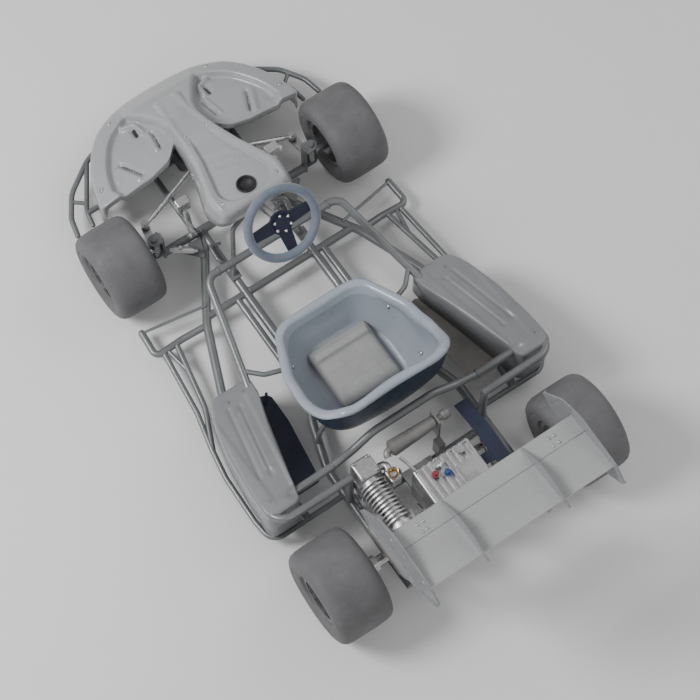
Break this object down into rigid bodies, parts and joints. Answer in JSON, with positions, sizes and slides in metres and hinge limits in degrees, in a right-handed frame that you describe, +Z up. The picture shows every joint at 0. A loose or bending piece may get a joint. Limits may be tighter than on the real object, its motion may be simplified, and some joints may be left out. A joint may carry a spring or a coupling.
{
  "type": "kart chassis",
  "caption": "Racing kart chassis: tubular frame with steering, pedals, wheels, bucket seat, side-mounted engine, chain-driven rear axle, bodywork and a rear wing.",
  "frame": {"origin": "on the ground, under the middle of the overall box", "axes": "+Z up; -Y the way the kart drives; +X the driver's left"},
  "size_m": [0.925, 1.8, 0.5999],
  "materials": {
    "frame_tube": "satin",
    "bodywork": "gloss",
    "pod": "satin",
    "wing": "satin",
    "steel": "satin",
    "dark_steel": "satin",
    "alloy": "cast",
    "polished": "polished",
    "tyre": "matte",
    "rim": "satin",
    "seat": "satin",
    "seat_pad": "matte",
    "grip": "matte",
    "navy": "matte",
    "tray_dark": "matte",
    "tray_brown": "matte",
    "chain_steel": "oiled",
    "tank": "satin"
  },
  "bodies": {
    "frame": {"bearing_carriers": "alloy", "brake_caliper": "alloy", "carburettor": "alloy", "chain": "chain_steel", "chain_guard": "navy", "cross_tubes": "frame_tube", "engine_barrel": "alloy", "engine_crankcase": "alloy", "exhaust_pipe": "dark_steel", "exhaust_silencer": "dark_steel", "front_bumper": "frame_tube", "fuel_tank": "tank", "intake_silencer": "dark_steel", "kingpin_yokes": "frame_tube", "main_rails": "frame_tube", "master_cylinder": "alloy", "nose_fairing": "bodywork", "outer_rails": "frame_tube", "pedal_mounts": "frame_tube", "pod_bars": "frame_tube", "rear_hoop": "frame_tube", "seat_pad": "seat_pad", "seat_rails": "frame_tube", "seat_shell": "seat", "seat_struts": "frame_tube", "side_bars": "frame_tube", "side_pod_left": "pod", "side_pod_right": "pod", "side_tray_left": "tray_dark", "side_tray_right": "tray_brown", "steering_fairing": "bodywork", "steering_support": "frame_tube", "transmission_case": "alloy", "upper_rails": "frame_tube", "wing_end_plates": "wing", "wing_fences": "wing", "wing_flap": "wing", "wing_main_plane": "wing", "wing_stays": "frame_tube"},
    "steering": {"steering_column": "steel", "steering_wheel_rim": "grip", "steering_wheel_spokes": "navy"},
    "knuckle_l": {"knuckle_left": "steel"},
    "knuckle_r": {"knuckle_right": "steel"},
    "tie_l": {"tie_rod_left": "steel"},
    "tie_r": {"tie_rod_right": "steel"},
    "front_wheel_l": {"front_tyre_left": "tyre", "front_rim_left": "rim"},
    "front_wheel_r": {"front_tyre_right": "tyre", "front_rim_right": "rim"},
    "axle": {"rear_axle": "steel", "rear_hubs": "alloy", "rear_rims": "rim", "rear_tyres": "tyre", "axle_sprocket": "alloy", "brake_disc": "steel"},
    "drive": {"output_sprocket": "steel"},
    "brake": {"brake_pedal": "polished"},
    "throttle": {"throttle_pedal": "polished"},
    "carb_lever": {"throttle_lever": "steel"}
  },
  "joints": [
    {"name": "steering_turn", "type": "hinge", "parent": "frame", "child": "steering", "pos_m": [0, -0.205, 0.43], "axis": [0, 0.7986, 0.6018], "range_deg": [-30, 30]},
    {"name": "knuckle_left_steer", "type": "hinge", "parent": "frame", "child": "knuckle_l", "pos_m": [0.258, -0.462, 0.13], "axis": [0, 0, 1], "range_deg": [-15, 15]},
    {"name": "knuckle_right_steer", "type": "hinge", "parent": "frame", "child": "knuckle_r", "pos_m": [-0.258, -0.462, 0.13], "axis": [0, 0, 1], "range_deg": [-15, 15]},
    {"name": "tie_rod_left_turn", "type": "hinge", "parent": "knuckle_l", "child": "tie_l", "pos_m": [0.244, -0.53568, 0.127], "axis": [0, 0, 1], "range_deg": [-15, 15]},
    {"name": "tie_rod_right_turn", "type": "hinge", "parent": "knuckle_r", "child": "tie_r", "pos_m": [-0.244, -0.53568, 0.127], "axis": [0, 0, 1], "range_deg": [-15, 15]},
    {"name": "front_wheel_left_roll", "type": "hinge", "parent": "knuckle_l", "child": "front_wheel_l", "pos_m": [0.3675, -0.462, 0.1305], "axis": [1, 0, 0], "continuous": true},
    {"name": "front_wheel_right_roll", "type": "hinge", "parent": "knuckle_r", "child": "front_wheel_r", "pos_m": [-0.3675, -0.462, 0.1305], "axis": [1, 0, 0], "continuous": true},
    {"name": "rear_axle_roll", "type": "hinge", "parent": "frame", "child": "axle", "pos_m": [0, 0.625, 0.14], "axis": [1, 0, 0], "continuous": true},
    {"name": "output_shaft_turn", "type": "hinge", "parent": "frame", "child": "drive", "pos_m": [-0.15, 0.522, 0.166], "axis": [1, 0, 0], "continuous": true},
    {"name": "brake_pedal_press", "type": "hinge", "parent": "frame", "child": "brake", "pos_m": [0.145, -0.452, 0.092], "axis": [1, 0, 0], "range_deg": [0, 14], "stiffness_Nm_per_rad": 12},
    {"name": "throttle_pedal_press", "type": "hinge", "parent": "frame", "child": "throttle", "pos_m": [-0.145, -0.452, 0.092], "axis": [1, 0, 0], "range_deg": [0, 20], "stiffness_Nm_per_rad": 6},
    {"name": "throttle_lever_turn", "type": "hinge", "parent": "frame", "child": "carb_lever", "pos_m": [0.0965, 0.482, 0.232], "axis": [1, 0, 0], "range_deg": [0, 60]}
  ],
  "couplings": [
    {"joint": "knuckle_left_steer", "follows": "steering_turn", "ratio": 0.5},
    {"joint": "knuckle_right_steer", "follows": "steering_turn", "ratio": 0.5},
    {"joint": "tie_rod_left_turn", "follows": "steering_turn", "ratio": -0.5},
    {"joint": "tie_rod_right_turn", "follows": "steering_turn", "ratio": -0.5},
    {"joint": "output_shaft_turn", "follows": "rear_axle_roll", "ratio": 4.9091},
    {"joint": "throttle_lever_turn", "follows": "throttle_pedal_press", "ratio": 3}
  ]
}
